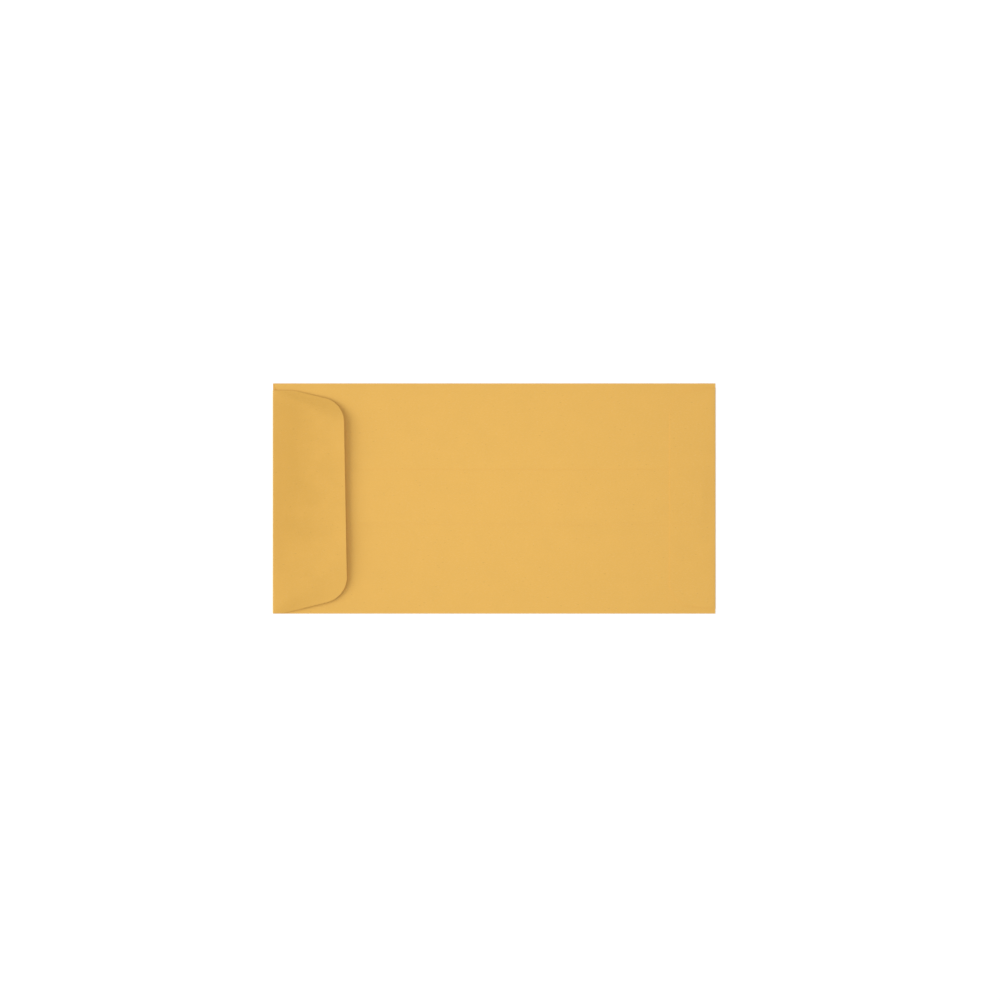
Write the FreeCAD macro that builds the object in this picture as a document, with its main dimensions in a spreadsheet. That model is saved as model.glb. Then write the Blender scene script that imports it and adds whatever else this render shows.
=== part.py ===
"""An open-end kraft paper envelope: one die-cut sheet, folded and glued into a flat pocket.

It lies flap side up. +X runs from the closure fold to the bottom fold, +Y across the width and +Z
up. The origin is on the surface it lies on, under the middle of the envelope. Millimetres.
"""

import FreeCAD, Part
import math
import os
import re
import Sketcher

# Driving dimensions
SIZES = {
    "env_length": 190.5,
    "env_width": 99.1,
    "paper": 0.15,
    "side_fold": 0.27,
    "bow_mouth": 0.4,
    "bow_middle": 1.2,
    "bow_lower": 0.55,
    "bow_end": 0.2,
    "throat": 3.0,
    "seam_edge": 12.5,
    "seam_lap": 22.4,
    "ply_ramp": 1.6,
    "panel_gap": 7.0,
    "panel_clip": 6.0,
    "corner_inset": 0.1,
    "glue_sink": 0.05,
    "bottom_fold": 0.4,
    "bottom_depth": 19.8,
    "bottom_shoulder": 1.9,
    "bottom_taper": 7.5,
    "bottom_corner": 10.0,
    "bottom_dip": 0.62,
    "dip_run": 2.0,
    "closure_fold": 0.55,
    "closure_depth": 31.5,
    "closure_tilt": 1.0,
    "spring_upper": 11.5,
    "spring_lower": 10.5,
    "flap_curl": 9.0,
    "upper_shoulder": 3.05,
    "upper_flush": 9.0,
    "upper_taper": 14.0,
    "upper_corner": 10.8,
    "lower_shoulder": 0.3,
    "lower_flush": 4.8,
    "lower_taper": 14.0,
    "lower_corner": 11.5,
    "trim_margin": 2.0,
}

# Places on the folded sheet, as formulas of the driving dimensions
HALF_LENGTH = "env_length / 2"
HALF_WIDTH = "env_width / 2"
FOLD_LINE = "(env_width / 2 - side_fold)"
MOUTH = "throat - env_length / 2"
PANEL_END = "(env_length / 2 - panel_gap)"
BOTTOM_EDGE = "(env_length / 2 - bottom_depth)"
BOTTOM_BEND = "(env_length / 2 - bottom_fold)"
LOWER_STATION = "(env_length / 2 - bottom_depth - trim_margin)"
CLOSURE_BEND = "(closure_fold - env_length / 2)"
CORNER_START = "(corner_inset - env_length / 2)"
CORNER_END = "(env_length / 2 - corner_inset)"
CLOSURE_HIGH = "(env_width / 2 - upper_shoulder)"
CLOSURE_LOW = "(env_width / 2 - lower_shoulder)"
BOTTOM_SHOULDER = "(env_width / 2 - bottom_shoulder)"
LAP_START = "(seam_edge - seam_lap)"
LAP_FOOT = "(seam_edge - seam_lap - ply_ramp)"
EDGE_FOOT = "(seam_edge + ply_ramp)"
BOW_AT_PANEL_END = (f"(bow_lower + (bow_end - bow_lower) * ({PANEL_END} - {LOWER_STATION})"
                    f" / ({BOTTOM_BEND} - {LOWER_STATION}))")
HALF_TURN = "half turn"


def in_sheet(formula):
    """The formula with each named size read from the sheet."""
    return re.sub(r"[a-z_]+", lambda m: f"Sizes.{m[0]}" if m[0] in SIZES else m[0], formula)


def make_sheet(doc):
    sheet = doc.addObject("Spreadsheet::Sheet", "Sizes")
    for row, (alias, size) in enumerate(SIZES.items(), start=1):
        sheet.set(f"A{row}", alias)
        sheet.set(f"B{row}", str(size))
        sheet.setAlias(f"B{row}", alias)
    doc.recompute()
    return sheet


def make_sketch(body, name, role, offset="0"):
    """A sketch on one of the body's origin planes, moved along the plane's normal."""
    sketch = body.newObject("Sketcher::SketchObject", name)
    plane = next(item for item in body.Origin.OriginFeatures if item.Role == role)
    sketch.AttachmentSupport = [(plane, "")]
    sketch.MapMode = "FlatFace"
    sketch.setExpression("AttachmentOffset.Base.z", in_sheet(offset))
    return sketch


def bind(sketch, kind, refs, value, formula):
    index = sketch.addConstraint(Sketcher.Constraint(kind, *refs, value))
    sketch.setExpression(f"Constraints[{index}]", in_sheet(formula))


def arc_between(start, end, radius, turn):
    """An arc of half a circle or less; turn is +1 for anticlockwise, -1 for clockwise."""
    chord = end - start
    reach = math.sqrt(max(radius ** 2 - chord.Length ** 2 / 4, 0.0))
    across = FreeCAD.Vector(-chord.y, chord.x, 0).normalize()
    circle = Part.Circle((start + end) / 2 + across * turn * reach, FreeCAD.Vector(0, 0, 1), radius)
    first, last = (start, end) if turn > 0 else (end, start)
    return Part.ArcOfCircle(circle, circle.parameter(first), circle.parameter(last))


def trace(sketch, corners, bends=None):
    """Draw a closed outline. Each corner is a pair of formulas. Each bend, by the number of the
    corner it starts from, is a radius and a turn; a radius of HALF_TURN is an upright half circle.
    """
    bends = bends or {}
    points = [FreeCAD.Vector(*(sketch.evalExpression(in_sheet(f)) for f in corner), 0)
              for corner in corners]
    ends = []
    for index, start in enumerate(points):
        end = points[(index + 1) % len(points)]
        radius, turn = bends.get(index, (None, 1))
        if radius is None:
            edge = Part.LineSegment(start, end)
        elif radius is HALF_TURN:
            edge = arc_between(start, end, (end - start).Length / 2, turn)
        else:
            edge = arc_between(start, end, sketch.evalExpression(in_sheet(radius)), turn)
        ends.append((sketch.addGeometry(edge), *((1, 2) if turn > 0 else (2, 1))))
    for index, (edge, first, _last) in enumerate(ends):
        before, _first, last = ends[index - 1]
        sketch.addConstraint(Sketcher.Constraint("Coincident", before, last, edge, first))
        bind(sketch, "DistanceX", (-1, 1, edge, first), points[index].x, corners[index][0])
        bind(sketch, "DistanceY", (-1, 1, edge, first), points[index].y, corners[index][1])
    for index, (radius, _turn) in bends.items():
        edge = ends[index][0]
        if radius is HALF_TURN:
            sketch.addConstraint(Sketcher.Constraint("Vertical", edge, 3, edge, 1))
        else:
            bind(sketch, "Radius", (edge,), sketch.evalExpression(in_sheet(radius)), radius)


def bow_radius(bow):
    """Radius of the bowed back over the two side folds, for its rise above them."""
    return f"(({FOLD_LINE} ^ 2 + {bow} ^ 2) / (2 * {bow}))"


def bow_height(bow, across, above="0"):
    """Height of the back's outer face at a distance from the long axis."""
    radius = bow_radius(bow)
    return f"2 * side_fold + {bow} - {radius} + sqrt({radius} ^ 2 - {across} ^ 2) + {above}"


def make_front_and_folds(body):
    """The flat front panel between the two side folds, each a half turn of the paper."""
    sketch = make_sketch(body, "FrontProfile", "YZ_Plane", CORNER_START)
    ceiling = "2 * side_fold - paper"
    corners = [(f"-{FOLD_LINE}", "0"), (FOLD_LINE, "0"), (FOLD_LINE, "2 * side_fold"),
               (FOLD_LINE, ceiling), (FOLD_LINE, "paper"), (f"-{FOLD_LINE}", "paper"),
               (f"-{FOLD_LINE}", ceiling), (f"-{FOLD_LINE}", "2 * side_fold")]
    outside, inside = (HALF_TURN, 1), (HALF_TURN, -1)
    trace(sketch, corners, {1: outside, 3: inside, 5: inside, 7: outside})
    pad = body.newObject("PartDesign::Pad", "FrontAndFolds")
    pad.Profile = sketch
    pad.Refine = False
    pad.setExpression("Length", in_sheet(f"{CORNER_END} - {CORNER_START}"))


def back_section(body, name, bow, station):
    """The two side panels across the back, bowed a little. The panel from the -Y fold laps over
    the other one: its cut edge stands on top, and it ramps down past the other's hidden end.
    """
    sketch = make_sketch(body, name, "YZ_Plane", station)
    ceiling = "2 * side_fold - paper"
    over = [(FOLD_LINE, "2 * side_fold"), ("seam_edge", bow_height(bow, "seam_edge")),
            ("seam_edge", bow_height(bow, "seam_edge", "paper")),
            (LAP_START, bow_height(bow, LAP_START, "paper")),
            (LAP_FOOT, bow_height(bow, LAP_FOOT)), (f"-{FOLD_LINE}", "2 * side_fold")]
    under = [(f"-{FOLD_LINE}", ceiling), (LAP_FOOT, bow_height(bow, LAP_FOOT, "-paper")),
             (LAP_START, bow_height(bow, LAP_START)),
             (LAP_START, bow_height(bow, LAP_START, "-paper")), (FOLD_LINE, ceiling)]
    outside, inside = (bow_radius(bow), 1), (bow_radius(bow), -1)
    trace(sketch, over + under, {0: outside, 2: outside, 4: outside, 6: inside, 9: inside})
    return sketch


def loft(body, name, sections, ruled=False):
    feature = body.newObject("PartDesign::AdditiveLoft", name)
    feature.Profile = sections[0]
    feature.Sections = sections[1:]
    feature.Ruled = ruled
    feature.Refine = False


def make_pocket_panels(doc):
    """The front panel and the two side panels, glued into a tube that is open at both ends."""
    body = doc.addObject("PartDesign::Body", "PocketPanels")
    make_front_and_folds(body)
    mouth = back_section(body, "BackAtMouth", "bow_mouth", CLOSURE_BEND)
    middle = back_section(body, "BackAtMiddle", "bow_middle", "0")
    lower = back_section(body, "BackAtFlap", "bow_lower", LOWER_STATION)
    end = back_section(body, "BackAtEnd", "bow_end", BOTTOM_BEND)
    loft(body, "Back", [mouth, middle, lower])
    loft(body, "BackUnderFlap", [lower, end], ruled=True)
    doc.recompute()
    shoulder = f"({FOLD_LINE} - panel_clip)"
    before, beyond = f"{CORNER_START} - trim_margin", f"{CORNER_END} + trim_margin"
    throat = [(MOUTH, f"-{shoulder}"), (MOUTH, shoulder), (CLOSURE_BEND, FOLD_LINE),
              (before, FOLD_LINE), (before, f"-{FOLD_LINE}"), (CLOSURE_BEND, f"-{FOLD_LINE}")]
    foot = [(PANEL_END, shoulder), (PANEL_END, f"-{shoulder}"), (BOTTOM_BEND, f"-{FOLD_LINE}"),
            (beyond, f"-{FOLD_LINE}"), (beyond, FOLD_LINE), (BOTTOM_BEND, FOLD_LINE)]
    cut_away(body, "SidePanelEnds", "side_fold", [(throat, None), (foot, None)])
    closure = [(before, f"-{CLOSURE_LOW}"), (CLOSURE_BEND, f"-{CLOSURE_LOW}"),
               (CLOSURE_BEND, CLOSURE_HIGH), (before, CLOSURE_HIGH)]
    bottom = [(BOTTOM_BEND, f"-{BOTTOM_SHOULDER}"), (beyond, f"-{BOTTOM_SHOULDER}"),
              (beyond, BOTTOM_SHOULDER), (BOTTOM_BEND, BOTTOM_SHOULDER)]
    cut_away(body, "FlapOpenings", "0", [(closure, None), (bottom, None)])
    return body


def cut_away(body, name, height, outlines):
    """Cut away what lies inside the outlines above a height, as the die does."""
    sketch = make_sketch(body, name + "Outline", "XY_Plane", height)
    for corners, bends in outlines:
        trace(sketch, corners, bends)
    before = body.Shape.Volume
    pocket = body.newObject("PartDesign::Pocket", name)
    pocket.Profile = sketch
    pocket.Type = "ThroughAll"
    pocket.Reversed = True
    pocket.Refine = False
    body.Document.recompute()
    if not 0 < body.Shape.Volume < before:
        raise RuntimeError(f"{name} removed nothing")


def rounded(corner, radius, heading, turn):
    """Both ends of the arc that rounds a corner, for the heading before it and the turn at it."""
    along, across = corner
    reach = f"({radius} * tan(({turn}) / 2))"
    after = f"({heading}) + ({turn})"
    return [(f"{along} - {reach} * cos({heading})", f"{across} - {reach} * sin({heading})"),
            (f"{along} + {reach} * cos({after})", f"{across} + {reach} * sin({after})")]


def frame_around(near, far):
    """A rectangle round a flap, wider than the sheet."""
    side = f"({HALF_WIDTH} + 2 * trim_margin)"
    return [(near, f"-{side}"), (far, f"-{side}"), (far, side), (near, side)]


def band_section(body, name, bow, station):
    """The bottom flap's section where it is glued down over the lapped side panels."""
    sketch = make_sketch(body, name, "YZ_Plane", station)
    knots = [(f"(-{FOLD_LINE})", "0"), (LAP_FOOT, "0"), (LAP_START, "paper"),
             ("seam_edge", "paper"), (EDGE_FOOT, "0"), (FOLD_LINE, "0")]
    lower = [(y, bow_height(bow, y, f"{step} - glue_sink")) for y, step in knots]
    upper = [(y, bow_height(bow, y, f"{step} + paper")) for y, step in reversed(knots)]
    under, over = (bow_radius(bow), -1), (bow_radius(bow), 1)
    trace(sketch, lower + upper, {0: under, 2: under, 4: under, 6: over, 8: over, 10: over})
    return sketch


def dip_section(body, station):
    """The bottom flap's section just past the ends of the side panels, where it lies lower."""
    sketch = make_sketch(body, "Dip", "YZ_Plane", station)
    across = [f"(-{FOLD_LINE})", LAP_FOOT, LAP_START, "seam_edge", EDGE_FOOT, FOLD_LINE]
    lower = [(y, "bottom_dip") for y in across]
    upper = [(y, "bottom_dip + paper") for y in reversed(across)]
    trace(sketch, lower + upper)
    return sketch


def make_bottom_flap(doc):
    """Folded up round the bottom, down past the side panels' ends and glued over them."""
    body = doc.addObject("PartDesign::Body", "BottomFlap")
    dip = f"({PANEL_END} + dip_run)"
    bend = make_sketch(body, "BottomBend", "XZ_Plane")
    corners = [(BOTTOM_BEND, "0"), (BOTTOM_BEND, "2 * bottom_fold"), (dip, "bottom_dip + paper"),
               (dip, "bottom_dip"), (BOTTOM_BEND, "2 * bottom_fold - paper"),
               (BOTTOM_BEND, "paper")]
    trace(bend, corners, {0: (HALF_TURN, 1), 4: (HALF_TURN, -1)})
    pad = body.newObject("PartDesign::Pad", "BottomFold")
    pad.Profile = bend
    pad.SideType = "Symmetric"
    pad.Refine = False
    pad.setExpression("Length", in_sheet(f"2 * {FOLD_LINE}"))
    sections = [dip_section(body, dip),
                band_section(body, "BandAtPanelEnd", BOW_AT_PANEL_END, PANEL_END),
                band_section(body, "BandAtEdge", "bow_lower", LOWER_STATION)]
    loft(body, "GluedBand", sections, ruled=True)
    doc.recompute()
    corner = f"({BOTTOM_SHOULDER} - bottom_depth * tan(bottom_taper))"
    turn = "90 - bottom_taper"
    flap = [(f"{HALF_LENGTH} + trim_margin", f"-{BOTTOM_SHOULDER}"),
            (f"{HALF_LENGTH} + trim_margin", BOTTOM_SHOULDER), (HALF_LENGTH, BOTTOM_SHOULDER),
            *rounded((BOTTOM_EDGE, corner), "bottom_corner", "180 + bottom_taper", turn),
            *rounded((BOTTOM_EDGE, f"-{corner}"), "bottom_corner", "270", turn),
            (HALF_LENGTH, f"-{BOTTOM_SHOULDER}")]
    arc = ("bottom_corner", 1)
    around = frame_around(f"{BOTTOM_EDGE} - 2 * trim_margin", f"{HALF_LENGTH} + 2 * trim_margin")
    cut_away(body, "BottomTrim", "0", [(around, None), (flap, {3: arc, 5: arc})])
    return body


def flap_profile(body, name, spring, across):
    """The closure flap's profile: round the closure fold, up at the angle to which the fold
    springs open, and curling level again, because the gum under it draws it down.
    """
    sketch = make_sketch(body, name, "XZ_Plane", f"-({across})")
    radius = (f"((closure_depth - closure_fold) / (sin({spring})"
              f" - sin({spring} - flap_curl)))")
    end = f"({spring} - flap_curl - trim_margin / {radius} * 180 / pi)"
    centre = (f"({CLOSURE_BEND} + ({radius} - closure_fold) * sin({spring}))",
              f"(closure_fold - ({radius} - closure_fold) * cos({spring}))")

    def on_curl(face, angle):
        return f"{centre[0]} - {face} * sin({angle})", f"{centre[1]} + {face} * cos({angle})"

    underside = f"({radius} - paper)"
    corners = [(CLOSURE_BEND, "0"), on_curl(radius, spring), on_curl(radius, end),
               on_curl(underside, end), on_curl(underside, spring), (CLOSURE_BEND, "paper")]
    trace(sketch, corners, {0: ("closure_fold", -1), 1: (radius, -1), 3: (underside, 1),
                            4: ("(closure_fold - paper)", 1)})
    return sketch


def make_closure_flap(doc):
    """Folded over the mouth, unglued, with its free edge sprung up a little."""
    body = doc.addObject("PartDesign::Body", "ClosureFlap")
    side = f"{HALF_WIDTH} + trim_margin"
    profiles = [flap_profile(body, "LowerProfile", "spring_lower", f"-({side})"),
                flap_profile(body, "UpperProfile", "spring_upper", side)]
    loft(body, "SprungFlap", profiles, ruled=True)
    doc.recompute()
    start = f"(-{HALF_LENGTH})"
    slant_low = f"({CLOSURE_LOW} + lower_flush * tan(lower_taper))"
    slant_high = f"({CLOSURE_HIGH} + upper_flush * tan(upper_taper))"
    reach_low = (f"((closure_depth + {slant_low} * tan(closure_tilt))"
                 " / (1 + tan(lower_taper) * tan(closure_tilt)))")
    reach_high = (f"((closure_depth - {slant_high} * tan(closure_tilt))"
                  " / (1 - tan(upper_taper) * tan(closure_tilt)))")
    corner_low = (f"({start} + {reach_low})", f"({reach_low} * tan(lower_taper) - {slant_low})")
    corner_high = (f"({start} + {reach_high})",
                   f"({slant_high} - {reach_high} * tan(upper_taper))")
    flap = [(f"{start} - trim_margin", f"-{CLOSURE_LOW}"),
            (f"{start} + lower_flush", f"-{CLOSURE_LOW}"),
            *rounded(corner_low, "lower_corner", "lower_taper",
                     "90 + closure_tilt - lower_taper"),
            *rounded(corner_high, "upper_corner", "90 + closure_tilt",
                     "90 - closure_tilt - upper_taper"),
            (f"{start} + upper_flush", CLOSURE_HIGH), (f"{start} - trim_margin", CLOSURE_HIGH)]
    around = frame_around(f"{start} - 2 * trim_margin",
                          f"{start} + closure_depth + 2 * trim_margin")
    cut_away(body, "ClosureTrim", "0",
             [(around, None), (flap, {2: ("lower_corner", 1), 4: ("upper_corner", 1)})])
    return body


def make_envelope(doc):
    """The whole sheet: its panels and flaps are one piece of paper."""
    envelope = doc.addObject("Part::MultiFuse", "Envelope")
    envelope.Label = "envelope"
    envelope.Shapes = [make_pocket_panels(doc), make_bottom_flap(doc), make_closure_flap(doc)]
    envelope.Refine = False
    return envelope


def check(doc, node):
    """Stop before anything is written if an object failed or the sheet isn't one sound solid."""
    failed = [item.Name for item in doc.Objects if {"Invalid", "Error"} & set(item.State)]
    shape = node.Shape
    if failed or shape.isNull() or not shape.isValid() or len(shape.Solids) != 1:
        raise RuntimeError(f"failed: {failed}, solids: {len(shape.Solids)}")


def main():
    doc = FreeCAD.newDocument("Envelope")
    make_sheet(doc)
    envelope = make_envelope(doc)
    doc.recompute()
    check(doc, envelope)
    os.makedirs("parts", exist_ok=True)
    envelope.Shape.exportStep(f"parts/{envelope.Label}.step")
    box = envelope.Shape.optimalBoundingBox(False)
    print(f"envelope {box.XLength:.2f} x {box.YLength:.2f} x {box.ZLength:.2f} mm,"
          f" {envelope.Shape.Volume:.1f} cubic mm")


main()
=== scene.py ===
"""A golden brown kraft envelope lying flap side up: its folded sheet, its paper and its stage."""

import math

import bmesh
import bpy
from bpy.props import FloatProperty, FloatVectorProperty, PointerProperty
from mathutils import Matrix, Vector, noise


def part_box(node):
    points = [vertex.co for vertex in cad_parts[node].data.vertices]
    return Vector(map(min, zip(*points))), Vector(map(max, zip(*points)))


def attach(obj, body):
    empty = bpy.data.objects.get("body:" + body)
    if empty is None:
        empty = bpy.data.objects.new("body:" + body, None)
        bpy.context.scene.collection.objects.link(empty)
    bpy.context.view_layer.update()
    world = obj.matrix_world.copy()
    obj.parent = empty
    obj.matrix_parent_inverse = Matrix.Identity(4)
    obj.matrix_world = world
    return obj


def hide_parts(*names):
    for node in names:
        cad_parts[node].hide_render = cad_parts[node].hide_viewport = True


bl_info = {
    "name": "Kraft envelope",
    "version": (1, 0, 0),
    "blender": (4, 5, 0),
    "location": "3D Viewport > Sidebar > Envelope",
    "description": "Folds an open-end envelope from its flat die-cut blank",
    "category": "Add Mesh",
}

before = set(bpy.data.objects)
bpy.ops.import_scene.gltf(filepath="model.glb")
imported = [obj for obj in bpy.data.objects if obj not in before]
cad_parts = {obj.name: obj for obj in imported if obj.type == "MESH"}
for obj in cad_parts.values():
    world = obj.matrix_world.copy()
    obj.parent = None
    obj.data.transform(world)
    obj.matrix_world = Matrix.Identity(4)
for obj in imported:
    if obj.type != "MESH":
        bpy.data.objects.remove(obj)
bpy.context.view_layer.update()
LOW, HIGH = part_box("envelope")

MM = 0.001
QUARTER = math.pi / 2

# Mesh. Places closer than SNAP are one, and edges shorter than WELD are closed up.
SNAP = 1e-7
WELD = SNAP * 10.0
FOLD_STEPS = 10
RAMP_STEPS = 4
PRESS_STEPS = 2
CORNER_STEPS = 16
SIDE, BOTTOM, CLOSURE = 1, 2, 3

# The flat map is the plan of the blank, in a square of this size round the front panel's middle.
FLAT_MAP = "blank"
BLANK_SIZE = 0.5

# The paper's gentle waves, and how far from its cut edge the seam is pressed down.
SWELL_LENGTH = 14.0 * MM
SWELL_FADE = 12.0 * MM
WAVE_CREST = 0.35
FLAP_SWELL = 1.5
PRESS_REACH = 1.2 * MM

# Even patterns: scale to the millimetre, detail and roughness of the noise.
CLOUDS = (0.11, 3.0, 0.55)
GRAIN = (1.4, 5.0, 0.62)
CUT_GRAIN = (3.0, 4.0, 0.6)
# Drawn-out patterns: scale along and across the blank, and the angle that they are turned by.
STREAKS = ((0.03, 1.9, 1.0), 0.0)
LONG_FIBRES = ((0.8, 7.0, 1.0), 0.3)
CROSS_FIBRES = ((0.9, 6.0, 1.0), -0.9)
SHIVES = ((0.7, 2.6, 1.0), 0.6)
# Levels of the noise between which each mark fades in.
LONG_FIBRE_LEVELS = (0.60, 0.70)
CROSS_FIBRE_LEVELS = (0.61, 0.71)
SHIVE_LEVELS = (0.80, 0.84)
GRAIN_LEVELS = (0.3, 0.7)
WEAR_LEVELS = (0.35, 0.65)

# How strongly each pattern changes the colour, and how high it stands in the relief.
CLOUD_DEPTH = 0.05
GRAIN_DEPTH = 0.05
STREAK_DEPTH = 0.02
FIBRE_STRENGTH = 0.22
SHIVE_STRENGTH = 0.25
GRAIN_RELIEF = 0.6
FIBRE_RELIEF = 0.3
CLOUD_RELIEF = 0.5
GUM_RELIEF = 0.5

# The paper's bump and gloss, and the cut edge's own range of light and roughness.
BUMP_STRENGTH = 0.35
BUMP_HEIGHT = 0.04 * MM
SPECULAR = 0.3
ROUGHNESS_SPREAD = 0.05
CUT_LIGHT = (0.9, 1.08)
CUT_ROUGHNESS = (0.75, 0.9)

# Worn folds: half of the worn width and its soft edge in millimetres, and the wear's strength.
SIDE_WEAR = (0.25, 0.35)
CLOSURE_WEAR = (0.45, 0.6)
BOTTOM_WEAR = (0.35, 0.45)
WEAR_STRENGTH = (0.1, 0.4)

# Painted shade on the closure flap, darkest at its fold and lighter towards the flap's ends:
# millimetres past its fold and in from the envelope's sides, each with the strength at its start
# and end.
SHADE_PAST_FOLD, SHADE_ALONG = (3.0, 34.0), (1.0, 0.3)
SHADE_LOWER_END, SHADE_TO_MIDDLE = 1.5, (0.6, 1.05)
SHADE_UPPER_END, SHADE_TO_UPPER = (11.5, 2.5), (1.0, 0.6)
# How far, in millimetres, the paper's clouds shift the painted shade's fade along the flap.
CLOUD_SHIFT = 14.0
# The dried gum itself: how far its edge wanders, its soft edge in millimetres, and its cover.
GUM_WANDER = 1.2
GUM_SOFT = 0.4
GUM_COVER = 0.8

# Floor, lamps and camera: metres, and millimetres for the sensor. The floor's glow changes from
# its near to its far strength between GLOW_START and GLOW_END from the middle.
FLOOR_HALF = 4.0
FLOOR_DROP = -0.01 * MM
FLOOR_WHITE = 0.85
GLOW_START = 0.2
GLOW_END = 0.7
LEFT_PLACE, LEFT_SIZE = (-1.093, 0.0, 0.809), 1.15
OVERHEAD_PLACE, OVERHEAD_SIZE = (0.018, 0.0, 0.2), 0.25
SENSOR_WIDTH = 36.0
CLIP_START, CLIP_END = 0.01, 20.0


def length(name, description, default):
    """A length setting that can't be negative."""
    return FloatProperty(name=name, description=description, default=default, min=0.0,
                         precision=6, unit="LENGTH")


def offset(name, description, default):
    """A distance setting that may be negative."""
    return FloatProperty(name=name, description=description, default=default, unit="LENGTH")


def slope(name, description, degrees):
    """An angle setting, given in degrees and kept in radians."""
    return FloatProperty(name=name, description=description, default=math.radians(degrees),
                         unit="ROTATION")


def fraction(name, description, default):
    """A setting from 0 to 1."""
    return FloatProperty(name=name, description=description, default=default, min=0.0, max=1.0,
                         subtype="FACTOR")


def share(name, source, default):
    """A setting for one source's share of the light."""
    return FloatProperty(name=name, description="Share of the light on the back from " + source,
                         default=default, min=0.0, subtype="FACTOR")


def glow(name, where, default):
    """A setting for the light added to the floor."""
    return FloatProperty(name=name, description="Light seen directly and in reflections, added "
                         "to the floor " + where, default=default, min=0.0)


def colour(name, description, default):
    """A linear colour setting."""
    return FloatVectorProperty(name=name, description=description, default=default, size=3,
                               min=0.0, max=1.0, subtype="COLOR")


class SheetSizes(bpy.types.PropertyGroup):
    """The pocket: front panel, side folds and the two side panels lapped across the back."""

    length: length("Length", "From the closure fold to the bottom fold", HIGH.x - LOW.x)
    width: length("Width", "From side fold to side fold", HIGH.y - LOW.y)
    paper: length("Paper", "Thickness of the sheet", 0.15 * MM)
    pitch: length("Mesh pitch", "Size of the mesh's faces on the flat panels", 1.6 * MM)
    side_fold: length("Side fold", "Outer radius of the side folds", 0.27 * MM)
    seam_edge: length("Seam edge", "Cut edge of the seam, from the middle", 12.5 * MM)
    seam_lap: length("Seam lap", "How far one side panel laps the other", 22.4 * MM)
    ply_ramp: length("Ply ramp", "Length over which paper steps down past an edge", 1.6 * MM)
    throat: length("Throat", "Side panels' edge at the mouth, from the closure fold", 3.0 * MM)
    panel_gap: length("Panel gap", "Side panels' lower edge, from the bottom fold", 7.0 * MM)
    panel_clip: length("Panel clip", "Width of the clipped corners of the side panels", 6.0 * MM)
    panel_land: length("Panel land", "Side panels' full width beside the folds, at the bottom",
                       2.6 * MM)
    corner_inset: length("Corner inset", "From the bare corners to the folds' outside", 0.1 * MM)
    bow_mouth: length("Bow at mouth", "Rise of the back above the side folds", 0.4 * MM)
    bow_middle: length("Bow at middle", "Rise of the back above the side folds", 1.2 * MM)
    bow_lower: length("Bow at flap", "Rise of the back above the side folds", 0.55 * MM)
    bow_end: length("Bow at end", "Rise of the back above the side folds", 0.2 * MM)
    swell: length("Swell", "Height of the paper's gentle waves", 0.09 * MM)
    edge_press: length("Edge press", "How far the seam's edge is pressed into the ply below",
                       0.05 * MM)


class FlapSizes(bpy.types.PropertyGroup):
    """The glued bottom flap and the sprung closure flap."""

    bottom_fold: length("Bottom fold", "Outer radius of the bottom fold", 0.4 * MM)
    bottom_depth: length("Bottom flap", "Depth of the bottom flap", 19.8 * MM)
    bottom_shoulder: length("Bottom shoulder", "Inset of the flap at its fold", 1.9 * MM)
    bottom_taper: slope("Bottom taper", "Slant of the bottom flap's ends", 7.5)
    bottom_corner: length("Bottom corner", "Corner radius of the bottom flap", 10.0 * MM)
    bottom_dip: length("Bottom dip", "Height of the flap past the side panels", 0.62 * MM)
    dip_run: length("Dip run", "Length over which the flap comes down off the panels", 6.4 * MM)
    closure_fold: length("Closure fold", "Outer radius of the closure fold", 0.55 * MM)
    closure_depth: length("Closure flap", "Depth of the closure flap", 31.5 * MM)
    closure_tilt: slope("Closure tilt", "Slant of the closure flap's free edge", 1.0)
    spring_upper: slope("Upper spring", "Angle at which the fold springs open, +Y end", 11.5)
    spring_lower: slope("Lower spring", "Angle at which the fold springs open, -Y end", 10.5)
    upper_fan: slope("Upper fan", "Angle at the fold's +Y end over which the flap bends down", 28.0)
    lower_fan: slope("Lower fan", "Angle at the fold's -Y end over which the flap bends down", 45.0)
    upper_rise: fraction("Upper rise", "Share of the flap's rise left at its +Y end", 0.0)
    lower_rise: fraction("Lower rise", "Share of the flap's rise left at its -Y end", 0.2)
    flap_curl: slope("Flap curl", "Angle by which the gum curls the flap level", 9.0)
    upper_shoulder: length("Upper shoulder", "Inset of the flap at its fold, +Y end", 3.05 * MM)
    upper_flush: length("Upper flush run", "Length along the side fold before it tapers", 9.0 * MM)
    upper_taper: slope("Upper taper", "Slant of the flap's +Y end", 14.0)
    upper_corner: length("Upper corner", "Corner radius at the +Y end", 10.8 * MM)
    lower_shoulder: length("Lower shoulder", "Inset of the flap at its fold, -Y end", 0.3 * MM)
    lower_flush: length("Lower flush run", "Length flush with the side fold", 4.8 * MM)
    lower_taper: slope("Lower taper", "Slant of the flap's -Y end", 14.0)
    lower_corner: length("Lower corner", "Corner radius at the -Y end", 11.5 * MM)
    spread: length("Spring spread", "How far past the sides the springs are set", 2.0 * MM)
    gum_inset: length("Gum inset", "Bare rim between the gum and the free edge", 2.5 * MM)
    gum_width: length("Gum width", "Width of the dried gum under the flap", 16.0 * MM)


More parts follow.
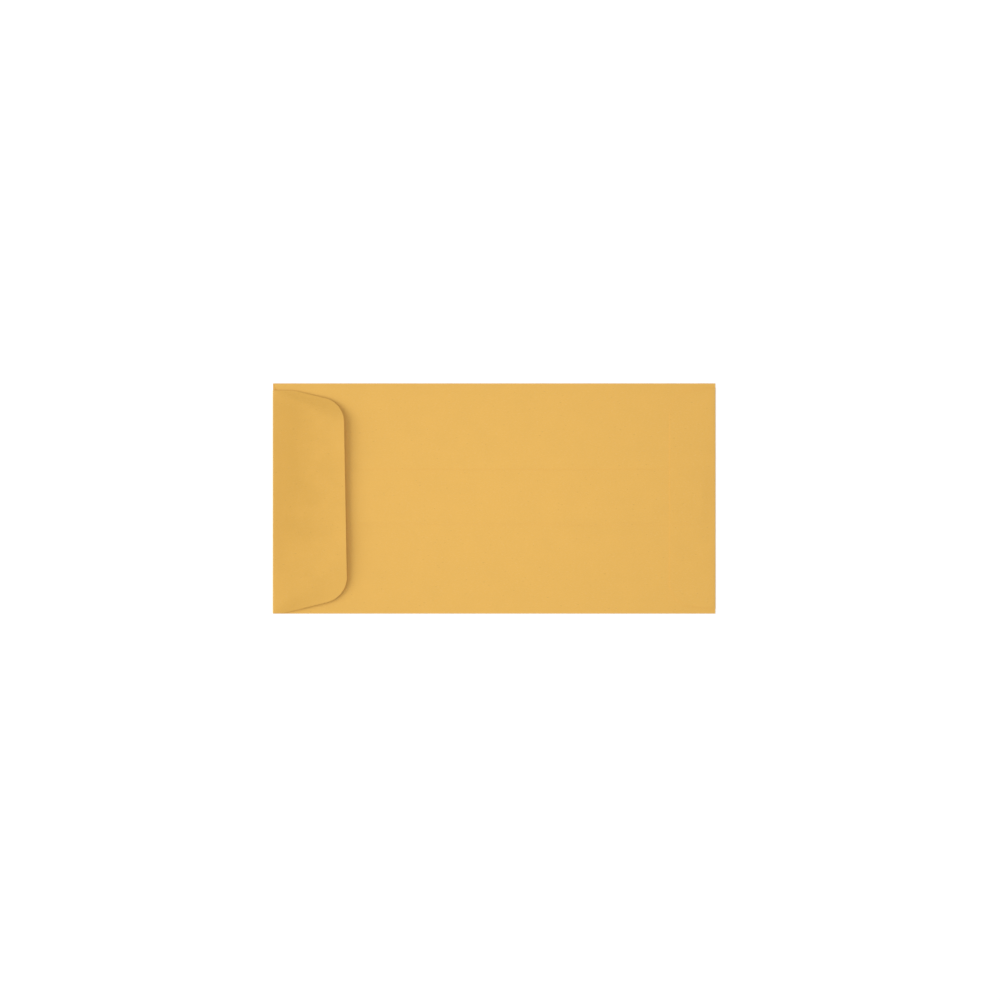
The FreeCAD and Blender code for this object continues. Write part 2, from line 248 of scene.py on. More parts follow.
class PaperFinish(bpy.types.PropertyGroup):
    """Colours and gloss of the paper."""

    kraft: colour("Kraft", "Main colour of the paper", (0.855, 0.488, 0.104))
    shive: colour("Shives", "Specks of bark in the pulp", (0.36, 0.17, 0.05))
    pale_fibre: colour("Pale fibres", "Light fibres in the pulp", (0.93, 0.68, 0.34))
    cut_edge: colour("Cut edge", "Fibres bared by the die", (0.86, 0.56, 0.2))
    gum: colour("Gum", "Dried gum over the paper", (0.66, 0.36, 0.085))
    # Painted shade: colour multiplied over the closure flap, darkest near its fold.
    painted_shade: colour("Gummed", "How much the gum behind darkens the flap", (0.850, 0.820, 0.700))
    roughness: fraction("Roughness", "Roughness of the paper", 0.66)
    gum_roughness: fraction("Gum roughness", "Roughness of the gum", 0.24)


class StageSetup(bpy.types.PropertyGroup):
    """Camera, lamps and floor."""

    camera_height: length("Camera height", "Height of the camera above the floor", 1.2)
    view_width: length("View width", "Width that the picture takes in", 430.3 * MM)
    camera_x: offset("Camera X", "Camera's place along the envelope", 2.53 * MM)
    camera_y: offset("Camera Y", "Camera's place across the envelope", -0.645 * MM)
    sky: share("Sky", "the light from all round", 0.435)
    left: share("Left lamp", "the large soft lamp on the left", 0.273)
    overhead: share("Overhead lamp", "the near lamp above", 0.236)
    near_glow: glow("Near glow", "close to the envelope", 0.45)
    far_glow: glow("Far glow", "farther away", 0.7)


def smooth(t):
    """Eases from 0 to 1 as t goes from 0 to 1."""
    t = min(max(t, 0.0), 1.0)
    return t * t * (3.0 - 2.0 * t)


def mix(a, b, t):
    """Goes from a to b as t goes from 0 to 1."""
    return a + (b - a) * t


class Folding:
    """Where each point of the flat blank lies once it is folded. Heights are mid-sheet."""

    def __init__(self, sheet, flaps):
        self.sheet = sheet
        self.flaps = flaps
        self.half_length = sheet.length / 2
        self.half_width = sheet.width / 2
        self.fold_line = self.half_width - sheet.side_fold
        self.side_turn = math.pi * (sheet.side_fold - sheet.paper / 2)
        self.closure_bend = flaps.closure_fold - self.half_length
        self.closure_turn = (math.pi - flaps.spring_lower) * (flaps.closure_fold - sheet.paper / 2)
        self.bottom_bend = self.half_length - flaps.bottom_fold
        self.bottom_turn = math.pi * (flaps.bottom_fold - sheet.paper / 2)
        self.bottom_edge = self.half_length - flaps.bottom_depth
        self.mouth = sheet.throat - self.half_length
        self.panel_end = self.half_length - sheet.panel_gap
        self.lap_start = sheet.seam_edge - sheet.seam_lap
        self.lap_foot = self.lap_start - sheet.ply_ramp
        self.edge_foot = sheet.seam_edge + sheet.ply_ramp
        self.over_reach = self.side_turn + self.fold_line + sheet.seam_edge
        self.under_reach = self.side_turn + self.fold_line - self.lap_start
        self.closure_reach = flaps.closure_depth + 2.0 * flaps.spread
        self.bottom_reach = self.bottom_turn + flaps.bottom_depth + flaps.spread

    def bow(self, x):
        """Rise of the back's middle line above its side folds."""
        sheet = self.sheet
        lower = self.bottom_edge - self.flaps.spread
        if x > lower:
            return mix(sheet.bow_lower, sheet.bow_end, (x - lower) / (self.bottom_bend - lower))
        ends = ((self.closure_bend, sheet.bow_mouth), (lower, sheet.bow_lower))
        (x0, b0), (x1, b1) = ends
        drop0, drop1 = (b0 - sheet.bow_middle) / x0, (b1 - sheet.bow_middle) / x1
        bend = (drop1 - drop0) / (x1 - x0)
        return sheet.bow_middle + (drop0 - bend * x0) * x + bend * x * x

    def back(self, x, y):
        """Height of the back's upper face where one ply makes it."""
        bow = self.bow(x)
        radius = (self.fold_line ** 2 + bow ** 2) / (2.0 * bow)
        arch = bow - radius + math.sqrt(radius ** 2 - y ** 2)
        inner = smooth((self.fold_line - abs(y)) / SWELL_FADE)
        inner *= smooth((self.bottom_edge - x) / SWELL_FADE)
        wave = noise.noise(Vector((x, y, 0.0)) / SWELL_LENGTH)
        return 2.0 * self.sheet.side_fold + arch + self.sheet.swell * wave * inner

    def ply_step(self, y):
        """How far the lapped ply lifts what lies over it."""
        sheet = self.sheet
        edge = sheet.paper - sheet.edge_press
        if y > sheet.seam_edge:
            return edge * (1.0 - smooth((y - sheet.seam_edge) / sheet.ply_ramp))
        if y > sheet.seam_edge - PRESS_REACH:
            return mix(sheet.paper, edge, smooth(1.0 - (sheet.seam_edge - y) / PRESS_REACH))
        return sheet.paper * smooth((y - self.lap_foot) / sheet.ply_ramp)

    def side_ends(self, past):
        """Where a side panel starts and ends, at a distance past its fold line."""
        sheet, past = self.sheet, past - self.side_turn
        clip = min(max(past, 0.0) / sheet.panel_clip, 1.0)
        foot = min(max(past - sheet.panel_land, 0.0) / sheet.panel_clip, 1.0)
        return (mix(self.closure_bend, self.mouth, clip),
                mix(self.bottom_bend, self.panel_end, foot))

    def side(self, u, v):
        """A point of a side fold or side panel."""
        sheet = self.sheet
        hand = math.copysign(1.0, v)
        past = abs(v) - self.fold_line
        if past < self.side_turn:
            radius = sheet.side_fold - sheet.paper / 2
            turn = past / radius
            return Vector((u, hand * (self.fold_line + radius * math.sin(turn)),
                           sheet.side_fold - radius * math.cos(turn)))
        y = hand * (self.fold_line - (past - self.side_turn))
        height = self.back(u, y) - sheet.paper / 2
        if hand < 0.0:
            height += self.ply_step(y)
        return Vector((u, y, height))

    def bottom(self, u, v):
        """A point of the bottom fold or bottom flap."""
        sheet, fold = self.sheet, self.flaps.bottom_fold
        past = u - self.bottom_bend
        if past < self.bottom_turn:
            radius = fold - sheet.paper / 2
            turn = past / radius
            return Vector((self.bottom_bend + radius * math.sin(turn), v,
                           fold - radius * math.cos(turn)))
        x = self.bottom_bend - (past - self.bottom_turn)
        end = self.side_ends(self.side_turn + self.fold_line - abs(v))[1]
        dip = mix(self.flaps.bottom_dip, 2.0 * fold - sheet.paper,
                  smooth((x - self.panel_end) / (self.bottom_bend - self.panel_end)))
        glued = self.back(min(x, self.panel_end), v) + self.ply_step(v)
        height = max(mix(glued, dip, smooth((x - end) / self.flaps.dip_run)), dip)
        return Vector((x, v, height + sheet.paper / 2))

    def fanned(self, v, along):
        """Share of its rise that the flap keeps: it bends down in a fan from each fold's end."""
        flaps = self.flaps
        upper = math.atan2(max(self.half_width - flaps.upper_shoulder - v, 0.0), along)
        lower = math.atan2(max(self.half_width - flaps.lower_shoulder + v, 0.0), along)
        return (mix(flaps.upper_rise, 1.0, smooth(upper / flaps.upper_fan))
                * mix(flaps.lower_rise, 1.0, smooth(lower / flaps.lower_fan)))

    def closure(self, u, v):
        """A point of the closure fold or closure flap."""
        sheet, flaps = self.sheet, self.flaps
        outer = self.half_width + flaps.spread
        spring = mix(flaps.spring_lower, flaps.spring_upper, (v + outer) / (2.0 * outer))
        fold = flaps.closure_fold
        radius = fold - sheet.paper / 2
        past = self.closure_bend - u
        turn = past / radius
        if turn < math.pi - spring:
            return Vector((self.closure_bend - radius * math.sin(turn), v,
                           fold - radius * math.cos(turn)))
        curl = ((flaps.closure_depth - fold)
                / (math.sin(spring) - math.sin(spring - flaps.flap_curl)))
        middle = Vector((self.closure_bend + (curl - fold) * math.sin(spring), v,
                         fold - (curl - fold) * math.cos(spring)))
        along = past - radius * (math.pi - spring)
        lean = spring - along / curl
        wave = noise.noise(Vector((u, v, 0.0)) / SWELL_LENGTH) - WAVE_CREST
        wave *= smooth(along / SWELL_FADE)
        reach = curl - sheet.paper / 2 + FLAP_SWELL * sheet.swell * wave
        point = middle + reach * Vector((-math.sin(lean), 0.0, math.cos(lean)))
        foot = fold + radius * math.cos(spring)
        point.z = mix(foot, point.z, self.fanned(v, along))
        return point

    def folded(self, u, v):
        """Where a point of the flat blank lies once the sheet is folded."""
        if abs(v) > self.fold_line + SNAP:
            return self.side(u, v)
        if u > self.bottom_bend + SNAP:
            return self.bottom(u, v)
        if u < self.closure_bend - SNAP:
            return self.closure(u, v)
        return Vector((u, v, self.sheet.paper / 2))


def spread(start, end, pitch):
    """Places from start to end, evenly, at most a pitch apart, without the end."""
    count = max(1, math.ceil(abs(end - start) / pitch - SNAP))
    return [mix(start, end, step / count) for step in range(count)]


def through(anchors, pitch):
    """The anchors and the places between them, evenly, at most a pitch apart."""
    places = []
    for start, end in zip(anchors, anchors[1:]):
        places += spread(start, end, pitch)
    return places + [anchors[-1]]


def flat_blank(fold):
    """The blank as it leaves the die: the front panel, and a panel extruded from each edge."""
    bm = bmesh.new()
    bmesh.ops.create_grid(bm, x_segments=1, y_segments=1, size=1.0)
    middle = (fold.closure_bend + fold.bottom_bend) / 2
    half = (fold.bottom_bend - fold.closure_bend) / 2
    bmesh.ops.scale(bm, vec=(half, fold.fold_line, 1.0), verts=bm.verts)
    bmesh.ops.translate(bm, vec=(middle, 0.0, 0.0), verts=bm.verts)
    bmesh.ops.reverse_faces(bm, faces=bm.faces)
    ways = ((Vector((0.0, -1.0, 0.0)), fold.over_reach),
            (Vector((0.0, 1.0, 0.0)), fold.under_reach),
            (Vector((1.0, 0.0, 0.0)), fold.bottom_reach),
            (Vector((-1.0, 0.0, 0.0)), fold.closure_reach))
    edges = [max(bm.edges, key=lambda e: (e.verts[0].co + e.verts[1].co).dot(way)
                 - 2.0 * middle * way.x) for way, _ in ways]
    for edge, (way, reach) in zip(edges, ways):
        panel = bmesh.ops.extrude_edge_only(bm, edges=[edge])["geom"]
        bmesh.ops.translate(bm, vec=way * reach,
                            verts=[v for v in panel if isinstance(v, bmesh.types.BMVert)])
    return bm


def score(bm, way, places):
    """Scores the blank across, at each place, so that it can bend there."""
    for place in places:
        bmesh.ops.bisect_plane(bm, geom=bm.verts[:] + bm.edges[:] + bm.faces[:], dist=SNAP,
                               plane_co=way * place, plane_no=way)


def lengthwise_scores(fold, sheet, flaps):
    """Places along the blank: the folds, the flaps and the foot of the side panels."""
    turn = fold.closure_turn / FOLD_STEPS
    places = through([fold.closure_bend - fold.closure_reach,
                      fold.closure_bend - fold.closure_turn], sheet.pitch)
    places += spread(fold.closure_bend - fold.closure_turn, fold.closure_bend, turn)
    places += through([fold.closure_bend, fold.bottom_bend], sheet.pitch)
    glued = fold.bottom_bend + fold.bottom_turn
    foot = glued + fold.bottom_bend - fold.panel_end
    places += spread(fold.bottom_bend, glued, fold.bottom_turn / FOLD_STEPS)
    places += spread(glued, foot + sheet.ply_ramp, flaps.dip_run / RAMP_STEPS)
    places += through([foot + sheet.ply_ramp, fold.bottom_bend + fold.bottom_reach], sheet.pitch)
    return places[1:-1]


def crosswise_scores(fold, sheet):
    """Places across the blank: the side folds and the steps over the lapped ply."""
    turn, ramp = fold.side_turn / FOLD_STEPS, sheet.ply_ramp / RAMP_STEPS
    places = through([-fold.fold_line, fold.lap_foot, fold.lap_start, sheet.seam_edge,
                      fold.edge_foot, fold.fold_line], sheet.pitch)
    places += spread(fold.lap_foot, fold.lap_start, ramp)[1:]
    places += spread(sheet.seam_edge, fold.edge_foot, ramp)[1:]
    turned = fold.fold_line + fold.side_turn
    places += spread(-fold.fold_line, -turned, turn)[1:]
    places += spread(fold.fold_line, turned, turn)[1:]
    lap = -turned - fold.fold_line
    press = lap - sheet.seam_edge + PRESS_REACH
    clips = [sheet.panel_land, sheet.panel_clip, sheet.panel_land + sheet.panel_clip]
    places += through([-turned, *(-turned - place for place in clips), lap - fold.lap_foot,
                       lap - fold.lap_start, press], sheet.pitch)
    places += spread(lap - fold.lap_foot, lap - fold.lap_start, ramp)[1:]
    places += spread(press, lap - sheet.seam_edge, PRESS_REACH / PRESS_STEPS)[1:]
    places += through([turned, *(turned + place for place in clips),
                       fold.fold_line + fold.under_reach], sheet.pitch)[:-1]
    return places


def in_panel(bm, layer, panel):
    """The faces of one panel, their edges, and the corners that no other panel shares."""
    faces = [f for f in bm.faces if f[layer] == panel]
    edges = {e for f in faces for e in f.edges}
    verts = {v for f in faces for v in f.verts if all(g[layer] == panel for g in v.link_faces)}
    return faces + list(edges) + list(verts)


def cut(point, angle):
    """A straight cut through a point. The angle is the way out of the paper, from +X."""
    return Vector((point[0], point[1], 0.0)), angle


def rounding(first, second, radius):
    """Cuts that round the corner between two straight cuts."""
    (p1, a1), (p2, a2) = first, second
    n1, n2 = outward(a1), outward(a2)
    d1, d2 = n1.dot(p1) - radius, n2.dot(p2) - radius
    across = n1.x * n2.y - n1.y * n2.x
    centre = Vector(((d1 * n2.y - d2 * n1.y) / across, (d2 * n1.x - d1 * n2.x) / across, 0.0))
    angles = [mix(a1, a2, step / CORNER_STEPS) for step in range(1, CORNER_STEPS)]
    return [(centre + radius * outward(angle), angle) for angle in angles]


def outward(angle):
    """The flat direction at an angle from +X."""
    return Vector((math.cos(angle), math.sin(angle), 0.0))


def closure_cuts(fold, flaps):
    """The closure flap's outline, seen from above."""
    low = fold.half_width - flaps.lower_shoulder
    high = fold.half_width - flaps.upper_shoulder
    upper = cut((flaps.upper_flush - fold.half_length, high), QUARTER - flaps.upper_taper)
    edge = cut((flaps.closure_depth - fold.half_length, 0.0), flaps.closure_tilt)
    lower = cut((flaps.lower_flush - fold.half_length, -low), flaps.lower_taper - QUARTER)
    above, below = cut((0.0, high), QUARTER), cut((0.0, -low), -QUARTER)
    return [above, upper, edge, lower, below, *rounding(above, upper, flaps.upper_corner),
            *rounding(upper, edge, flaps.upper_corner), *rounding(edge, lower, flaps.lower_corner),
            *rounding(lower, below, flaps.lower_corner)]


def bottom_cuts(fold, flaps):
    """The bottom flap's outline, seen from above."""
    side = fold.half_width - flaps.bottom_shoulder
    upper = cut((fold.half_length, side), QUARTER + flaps.bottom_taper)
    edge = cut((fold.bottom_edge, 0.0), math.pi)
    lower = cut((fold.half_length, -side), 3.0 * QUARTER - flaps.bottom_taper)
    return [upper, edge, lower, *rounding(upper, edge, flaps.bottom_corner),
            *rounding(edge, lower, flaps.bottom_corner)]


def fill_corners(bm, fold, sheet, flat):
    """Beside the flaps' shoulders the paper is cut, not folded, out where the folds reach."""
    for bend, way in ((fold.closure_bend, -1.0), (fold.bottom_bend, 1.0)):
        reach = fold.half_length - sheet.corner_inset - abs(bend)
        edges = [e for e in bm.edges if e.is_boundary
                 and all(abs(v.co.x - bend) < WELD for v in e.verts)]
        strip = bmesh.ops.extrude_edge_only(bm, edges=edges)["geom"]
        corners = {v for v in strip if isinstance(v, bmesh.types.BMVert)}
        bmesh.ops.translate(bm, vec=(way * reach, 0.0, 0.0), verts=list(corners))
        for loop in {loop for v in corners for loop in v.link_loops}:
            loop[flat].uv.x += way * reach / BLANK_SIZE


def fold_sheet(fold, sheet, flaps):
    """Cuts, scores and folds the blank, and returns it as a bmesh with its flat map."""
    bm = flat_blank(fold)
    score(bm, Vector((1.0, 0.0, 0.0)), lengthwise_scores(fold, sheet, flaps))
    score(bm, Vector((0.0, 1.0, 0.0)), crosswise_scores(fold, sheet))
    panel = bm.faces.layers.int.new("panel")
    for face in bm.faces:
        middle = face.calc_center_median()
        if abs(middle.y) > fold.fold_line:
            face[panel] = SIDE
        elif middle.x > fold.bottom_bend:
            face[panel] = BOTTOM
        elif middle.x < fold.closure_bend:
            face[panel] = CLOSURE
    for vert in bm.verts:
        past = abs(vert.co.y) - fold.fold_line
        if past > SNAP:
            start, end = fold.side_ends(past)
            along = (vert.co.x - fold.closure_bend) / (fold.bottom_bend - fold.closure_bend)
            vert.co.x = mix(start, end, along)
    flat = bm.loops.layers.uv.new(FLAT_MAP)
    for face in bm.faces:
        for loop in face.loops:
            loop[flat].uv = loop.vert.co.xy / BLANK_SIZE + Vector((0.5, 0.5))
    for vert in bm.verts:
        vert.co = fold.folded(vert.co.x, vert.co.y)
    for flap, cuts in ((CLOSURE, closure_cuts(fold, flaps)), (BOTTOM, bottom_cuts(fold, flaps))):
        for point, angle in cuts:
            bmesh.ops.bisect_plane(bm, geom=in_panel(bm, panel, flap), dist=SNAP,
                                   plane_co=point, plane_no=outward(angle), clear_outer=True)
    fill_corners(bm, fold, sheet, flat)
    bmesh.ops.dissolve_degenerate(bm, dist=WELD, edges=bm.edges)
    for face in bm.faces:
        face.smooth = True
    for edge in bm.edges:
        edge.smooth = not edge.is_boundary
    return bm


class Nodes:
    """Adds nodes to one node tree."""

    def __init__(self, tree):
        self.tree = tree

    def add(self, kind, *inputs, out=0, **settings):
        """Adds a node. Each input is a value, an output to link, or None to leave it."""
        node = self.tree.nodes.new(kind)
        for name, value in settings.items():
            setattr(node, name, value)
        for socket, value in zip(node.inputs, inputs):
            self.plug(socket, value)
        return node.outputs[out]

    def plug(self, socket, value):
        """Links an output to the socket, or sets the socket's own value."""
        if isinstance(value, bpy.types.NodeSocket):
            self.tree.links.new(value, socket)
        elif value is not None:
            socket.default_value = value

    def math(self, operation, *inputs):
        return self.add("ShaderNodeMath", *inputs, operation=operation)

    def seen(self):
        """1 where the camera, or a reflection or a clear piece, looks straight at the surface."""
        path = self.tree.nodes.new("ShaderNodeLightPath").outputs
        return self.math("MAXIMUM", path["Is Camera Ray"],
                         self.math("MAXIMUM", path["Is Glossy Ray"], path["Is Transmission Ray"]))


class Shader(Nodes):
    """Adds nodes to one new material."""

    def __init__(self, name):
        self.material = bpy.data.materials.new(name)
        self.material.use_nodes = True
        super().__init__(self.material.node_tree)
        self.paper = self.tree.nodes["Principled BSDF"]

    def flat(self):
        """Millimetres on the flat blank, from the middle of the front panel."""
        side = BLANK_SIZE / MM
        flat = self.add("ShaderNodeUVMap", uv_map=FLAT_MAP)
        return self.add("ShaderNodeMapping", flat, (-side / 2, -side / 2, 0.0), None, (side,) * 3)

    def noise(self, vector, scale, detail, roughness=0.5):
        return self.add("ShaderNodeTexNoise", vector, None, scale, detail, roughness)

    def drawn_out(self, flat, scale, turn, detail=2.0):
        """Noise on the flat millimetres, scaled and turned for one pattern."""
        turned = self.add("ShaderNodeMapping", flat, None, (0.0, 0.0, turn), scale)
        return self.noise(turned, 1.0, detail)

    def varied(self, pattern, depth, level):
        """The level, raised and lowered as the pattern goes above and below its middle."""
        return self.math("MULTIPLY_ADD", self.math("SUBTRACT", pattern, 0.5), depth, level)

    def between(self, value, low, high, start=0.0, end=1.0):
        """Eases from start to end as the value goes from low to high."""
        return self.add("ShaderNodeMapRange", value, low, high, start, end,
                        interpolation_type="SMOOTHSTEP")

    def near(self, value, middle, half, soft):
        """1 within half of the middle, easing to 0 over the soft width outside it."""
        away = self.math("ABSOLUTE", self.math("SUBTRACT", value, middle))
        return self.between(away, half, half + soft, 1.0, 0.0)

    def tint(self, factor, below, above, blend="MIX"):
        """Blends one colour over another."""
        node = self.tree.nodes.new("ShaderNodeMix")
        node.data_type, node.blend_type = "RGBA", blend
        for socket, value in ((node.inputs[0], factor), (node.inputs[6], below),
                              (node.inputs[7], above)):
            self.plug(socket, value)
        return node.outputs[2]


def pulp(shader, finish):
    """Colour and relief that the paper has on both faces, in the flat map's millimetres."""
    flat = shader.flat()
    cloud = shader.noise(flat, *CLOUDS)
    grain = shader.noise(flat, *GRAIN)
    long_fibre = shader.between(shader.drawn_out(flat, *LONG_FIBRES), *LONG_FIBRE_LEVELS)
    cross_fibre = shader.between(shader.drawn_out(flat, *CROSS_FIBRES), *CROSS_FIBRE_LEVELS)
    pale = shader.math("MAXIMUM", long_fibre, cross_fibre)
    dark = shader.between(shader.drawn_out(flat, *SHIVES, detail=0.0), *SHIVE_LEVELS)
    light = shader.varied(cloud, CLOUD_DEPTH, 1.0)
    light = shader.varied(grain, GRAIN_DEPTH, light)
    light = shader.varied(shader.drawn_out(flat, *STREAKS), STREAK_DEPTH, light)
    colour = shader.tint(1.0, (*finish.kraft, 1.0), light, "MULTIPLY")
    colour = shader.tint(shader.math("MULTIPLY", pale, FIBRE_STRENGTH), colour,
                         (*finish.pale_fibre, 1.0))
    colour = shader.tint(shader.math("MULTIPLY", dark, SHIVE_STRENGTH), colour,
                         (*finish.shive, 1.0))
    relief = shader.math("MULTIPLY_ADD", grain, GRAIN_RELIEF,
                         shader.math("MULTIPLY", pale, FIBRE_RELIEF))
    relief = shader.math("MULTIPLY_ADD", cloud, CLOUD_RELIEF, relief)
    return flat, cloud, grain, colour, relief


def finish_paper(shader, colour, roughness, relief):
    """Plugs the paper's colour, gloss and relief into its material."""
    shader.plug(shader.paper.inputs["Base Color"], colour)
    shader.plug(shader.paper.inputs["Roughness"], roughness)
    shader.paper.inputs["Specular IOR Level"].default_value = SPECULAR
    bump = shader.add("ShaderNodeBump", BUMP_STRENGTH, BUMP_HEIGHT)
    shader.plug(bump.node.inputs["Height"], relief)
    shader.plug(shader.paper.inputs["Normal"], bump)
    return shader.material


def paint_flap_shade(shader, fold, along, across, cloud):
    """How strongly painted shade darkens the closure flap: most at its fold, fading along it and
    towards its ends.
    """
    start = (fold.closure_bend - fold.closure_turn / 2) / MM
    half = fold.half_width / MM
    far, near = SHADE_UPPER_END
    past = shader.varied(cloud, CLOUD_SHIFT, shader.math("SUBTRACT", start, along))
    # Painted shade along the flap, eased towards its ends where the bent flap is already shaded.
    painted_shade = shader.between(past, *SHADE_PAST_FOLD, *SHADE_ALONG)
    for limit in (shader.math("LESS_THAN", along, start),
                  shader.between(across, SHADE_LOWER_END - half, 0.0, *SHADE_TO_MIDDLE),
                  shader.between(across, half - far, half - near, *SHADE_TO_UPPER)):
        painted_shade = shader.math("MULTIPLY", painted_shade, limit)
    return painted_shade


def outer_paper(fold, finish):
    """The smooth outer face, worn pale along its folds, with painted shade on the closure flap near
    its fold.
    """
    shader = Shader("Kraft")
    flat, cloud, grain, colour, relief = pulp(shader, finish)
    split = shader.add("ShaderNodeSeparateXYZ", flat)
    along, across = split, split.node.outputs[1]
    side = shader.near(shader.math("ABSOLUTE", across),
                       (fold.fold_line + fold.side_turn / 2) / MM, *SIDE_WEAR)
    closure = shader.near(along, (fold.closure_bend - fold.closure_turn / 2) / MM, *CLOSURE_WEAR)
    bottom = shader.near(along, (fold.bottom_bend + fold.bottom_turn / 2) / MM, *BOTTOM_WEAR)
    # Painted shade: the closure flap is darkened near its fold.
    colour = shader.tint(paint_flap_shade(shader, fold, along, across, cloud), colour,
                         (*finish.painted_shade, 1.0), "MULTIPLY")
    worn = shader.math("MAXIMUM", side, shader.math("MAXIMUM", closure, bottom))
    worn = shader.math("MULTIPLY", worn, shader.between(grain, *WEAR_LEVELS, *WEAR_STRENGTH))
    colour = shader.tint(worn, colour, (*finish.pale_fibre, 1.0))
    roughness = shader.between(grain, *GRAIN_LEVELS, finish.roughness - ROUGHNESS_SPREAD,
                               finish.roughness + ROUGHNESS_SPREAD)
    return finish_paper(shader, colour, roughness, relief)


def inner_paper(fold, flaps, finish):
    """The inner face, with the dried gum on the closure flap."""
    shader = Shader("Kraft_inside")
    flat, _, grain, colour, relief = pulp(shader, finish)
    along = shader.add("ShaderNodeSeparateXYZ", flat)
    edge = fold.closure_bend - fold.closure_turn + flaps.closure_fold - flaps.closure_depth
    middle = (edge + flaps.gum_inset + flaps.gum_width / 2) / MM
    gum = shader.near(shader.varied(grain, GUM_WANDER, along), middle, flaps.gum_width / 2 / MM,
                      GUM_SOFT)
    colour = shader.tint(shader.math("MULTIPLY", gum, GUM_COVER), colour, (*finish.gum, 1.0))
    roughness = shader.between(gum, 0.0, 1.0, finish.roughness, finish.gum_roughness)
    relief = shader.math("MULTIPLY_ADD", gum, GUM_RELIEF, relief)
    return finish_paper(shader, colour, roughness, relief)


def cut_paper(finish):
    """The die-cut edge: bare fibre, paler than the faces."""
    shader = Shader("Kraft_cut_edge")
    grain = shader.noise(shader.flat(), *CUT_GRAIN)
    light = shader.between(grain, *GRAIN_LEVELS, *CUT_LIGHT)
    colour = shader.tint(1.0, (*finish.cut_edge, 1.0), light, "MULTIPLY")
    roughness = shader.between(grain, *GRAIN_LEVELS, *CUT_ROUGHNESS)
    return finish_paper(shader, colour, roughness, grain)


class ENVELOPE_OT_sheet(bpy.types.Operator):
    """Fold the envelope's sheet from its flat blank"""

    bl_idname = "envelope.sheet"
    bl_label = "Folded Sheet"

    def execute(self, context):
        scene = context.scene
        sheet, flaps, finish = scene.envelope_sheet, scene.envelope_flaps, scene.envelope_finish
        fold = Folding(sheet, flaps)
        mesh = bpy.data.meshes.new("Folded_sheet")
        bm = fold_sheet(fold, sheet, flaps)
        bm.to_mesh(mesh)
        bm.free()
        piece = bpy.data.objects.new("Folded_sheet", mesh)
        scene.collection.objects.link(piece)
        for material in (outer_paper(fold, finish), inner_paper(fold, flaps, finish),
                         cut_paper(finish)):
            mesh.materials.append(material)
        wall = piece.modifiers.new("Paper thickness", "SOLIDIFY")
        wall.thickness = sheet.paper
        wall.offset = 0.0
        wall.material_offset = 1
        wall.material_offset_rim = 2
        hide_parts("envelope")
        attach(piece, "root")
        return {"FINISHED"}


def lamp(scene, name, level, place, size):
    """A square lamp that faces the envelope and gives the flat back that level of light."""
    light = bpy.data.lights.new(name, "AREA")
    away = Vector(place)
    facing = size / 2.0 / math.hypot(size / 2.0, away.length)
    form = 4.0 / math.pi * facing * math.atan(facing)
    light.size = size
    light.energy = level * math.pi * size ** 2 / form * away.length / away.z
    shade = bpy.data.objects.new(name, light)
    shade.location = place
    shade.rotation_euler = (-away).to_track_quat("-Z", "Y").to_euler()
    shade.visible_camera = False
    scene.collection.objects.link(shade)


def lay_floor(scene, stage):
    """A white floor, with a glow that is seen but throws no diffuse light on the envelope."""
    bm = bmesh.new()
    bmesh.ops.create_grid(bm, x_segments=1, y_segments=1, size=FLOOR_HALF)
    bmesh.ops.translate(bm, vec=(0.0, 0.0, FLOOR_DROP), verts=bm.verts)
    mesh = bpy.data.meshes.new("Floor")
    bm.to_mesh(mesh)
    bm.free()
    floor = bpy.data.objects.new("Floor", mesh)
    scene.collection.objects.link(floor)
    white = Shader("Floor_white")
    white.paper.inputs["Base Color"].default_value = (*(FLOOR_WHITE,) * 3, 1.0)
    white.paper.inputs["Roughness"].default_value = 1.0
    white.paper.inputs["Specular IOR Level"].default_value = 0.0
    white.paper.inputs["Emission Color"].default_value = (1.0, 1.0, 1.0, 1.0)
    place = white.add("ShaderNodeTexCoord", out=3)
    away = white.add("ShaderNodeVectorMath", place, operation="LENGTH", out=1)
    strength = white.between(away, GLOW_START, GLOW_END, stage.near_glow, stage.far_glow)
    white.plug(white.paper.inputs["Emission Strength"],
               white.math("MULTIPLY", white.seen(), strength))
    mesh.materials.append(white.material)


def light_sky(scene, stage):
    """A white sky, full white where it is seen and dimmer where it only gives light."""
    world = bpy.data.worlds.new("Studio")
    world.use_nodes = True
    scene.world = world
    nodes = Nodes(world.node_tree)
    sky = world.node_tree.nodes["Background"]
    sky.inputs["Color"].default_value = (1.0, 1.0, 1.0, 1.0)
    level = nodes.add("ShaderNodeMapRange", nodes.seen(), 0.0, 1.0, stage.sky, 1.0)
    nodes.plug(sky.inputs["Strength"], level)


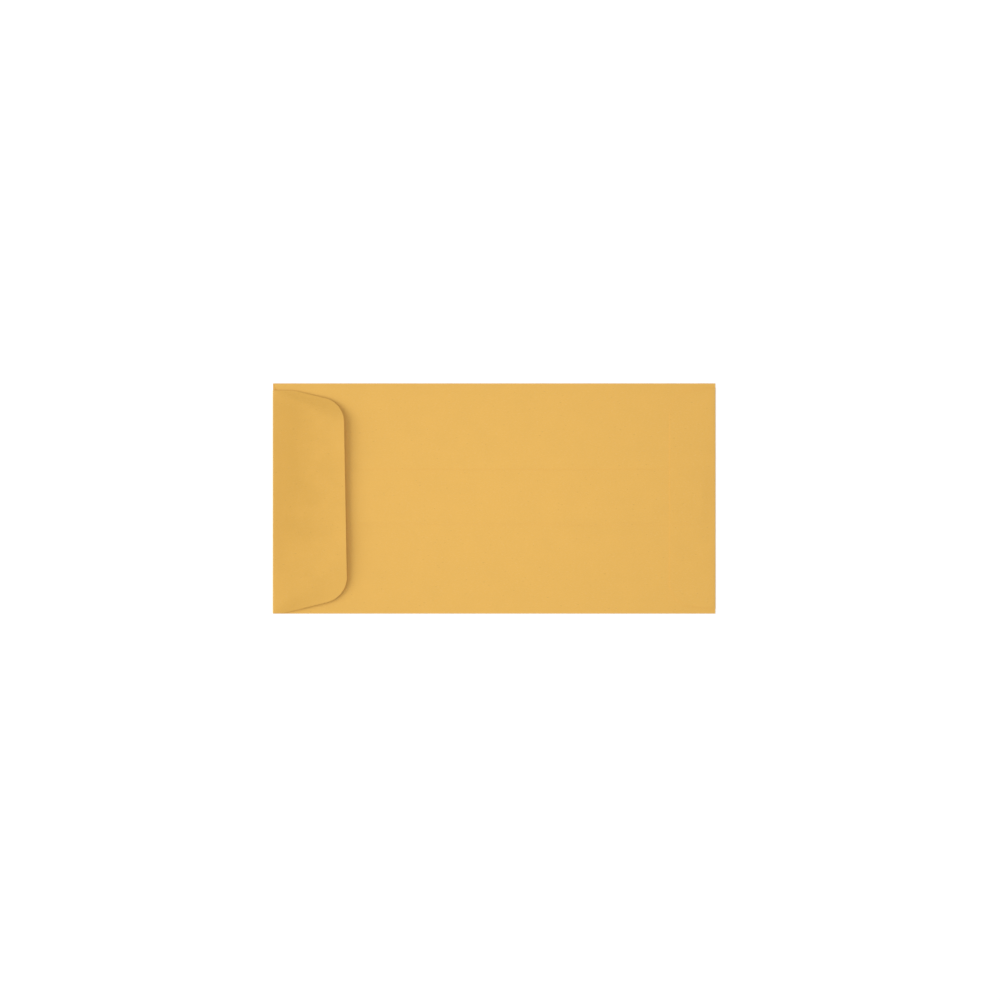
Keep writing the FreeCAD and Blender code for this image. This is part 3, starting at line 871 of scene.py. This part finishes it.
def place_camera(scene, stage):
    """The camera above, looking straight down."""
    view = bpy.data.cameras.new("Camera")
    view.sensor_width = SENSOR_WIDTH
    view.lens = view.sensor_width * stage.camera_height / stage.view_width
    view.clip_start, view.clip_end = CLIP_START, CLIP_END
    camera = bpy.data.objects.new("Camera", view)
    camera.location = (stage.camera_x, stage.camera_y, stage.camera_height)
    scene.collection.objects.link(camera)
    scene.camera = camera


class ENVELOPE_OT_stage(bpy.types.Operator):
    """Set up the white floor, the soft lamps and the camera above"""

    bl_idname = "envelope.stage"
    bl_label = "Stage"

    def execute(self, context):
        scene, stage = context.scene, context.scene.envelope_stage
        lay_floor(scene, stage)
        light_sky(scene, stage)
        lamp(scene, "Left", stage.left, LEFT_PLACE, LEFT_SIZE)
        lamp(scene, "Overhead", stage.overhead, OVERHEAD_PLACE, OVERHEAD_SIZE)
        place_camera(scene, stage)
        scene.view_settings.view_transform = "Standard"
        return {"FINISHED"}


class ENVELOPE_PT_panel(bpy.types.Panel):
    """The envelope's sizes and finishes, and the buttons that make it"""

    bl_idname = "ENVELOPE_PT_panel"
    bl_label = "Kraft Envelope"
    bl_space_type = "VIEW_3D"
    bl_region_type = "UI"
    bl_category = "Envelope"

    def draw(self, context):
        scene = context.scene
        for title, group in (("Sheet", scene.envelope_sheet), ("Flaps", scene.envelope_flaps),
                             ("Paper", scene.envelope_finish), ("Stage", scene.envelope_stage)):
            box = self.layout.box()
            box.label(text=title)
            for name in group.__annotations__:
                box.prop(group, name)
        for operator in OPERATORS:
            self.layout.operator(operator.bl_idname)


SETTINGS = {"envelope_sheet": SheetSizes, "envelope_flaps": FlapSizes,
            "envelope_finish": PaperFinish, "envelope_stage": StageSetup}
OPERATORS = (ENVELOPE_OT_sheet, ENVELOPE_OT_stage)


def register():
    for name, group in SETTINGS.items():
        bpy.utils.register_class(group)
        setattr(bpy.types.Scene, name, PointerProperty(type=group))
    for cls in (*OPERATORS, ENVELOPE_PT_panel):
        bpy.utils.register_class(cls)


def unregister():
    for cls in (ENVELOPE_PT_panel, *reversed(OPERATORS)):
        bpy.utils.unregister_class(cls)
    for name, group in reversed(SETTINGS.items()):
        delattr(bpy.types.Scene, name)
        bpy.utils.unregister_class(group)


def main():
    register()
    bpy.ops.envelope.sheet()
    bpy.ops.envelope.stage()


if __name__ == "__main__":
    main()
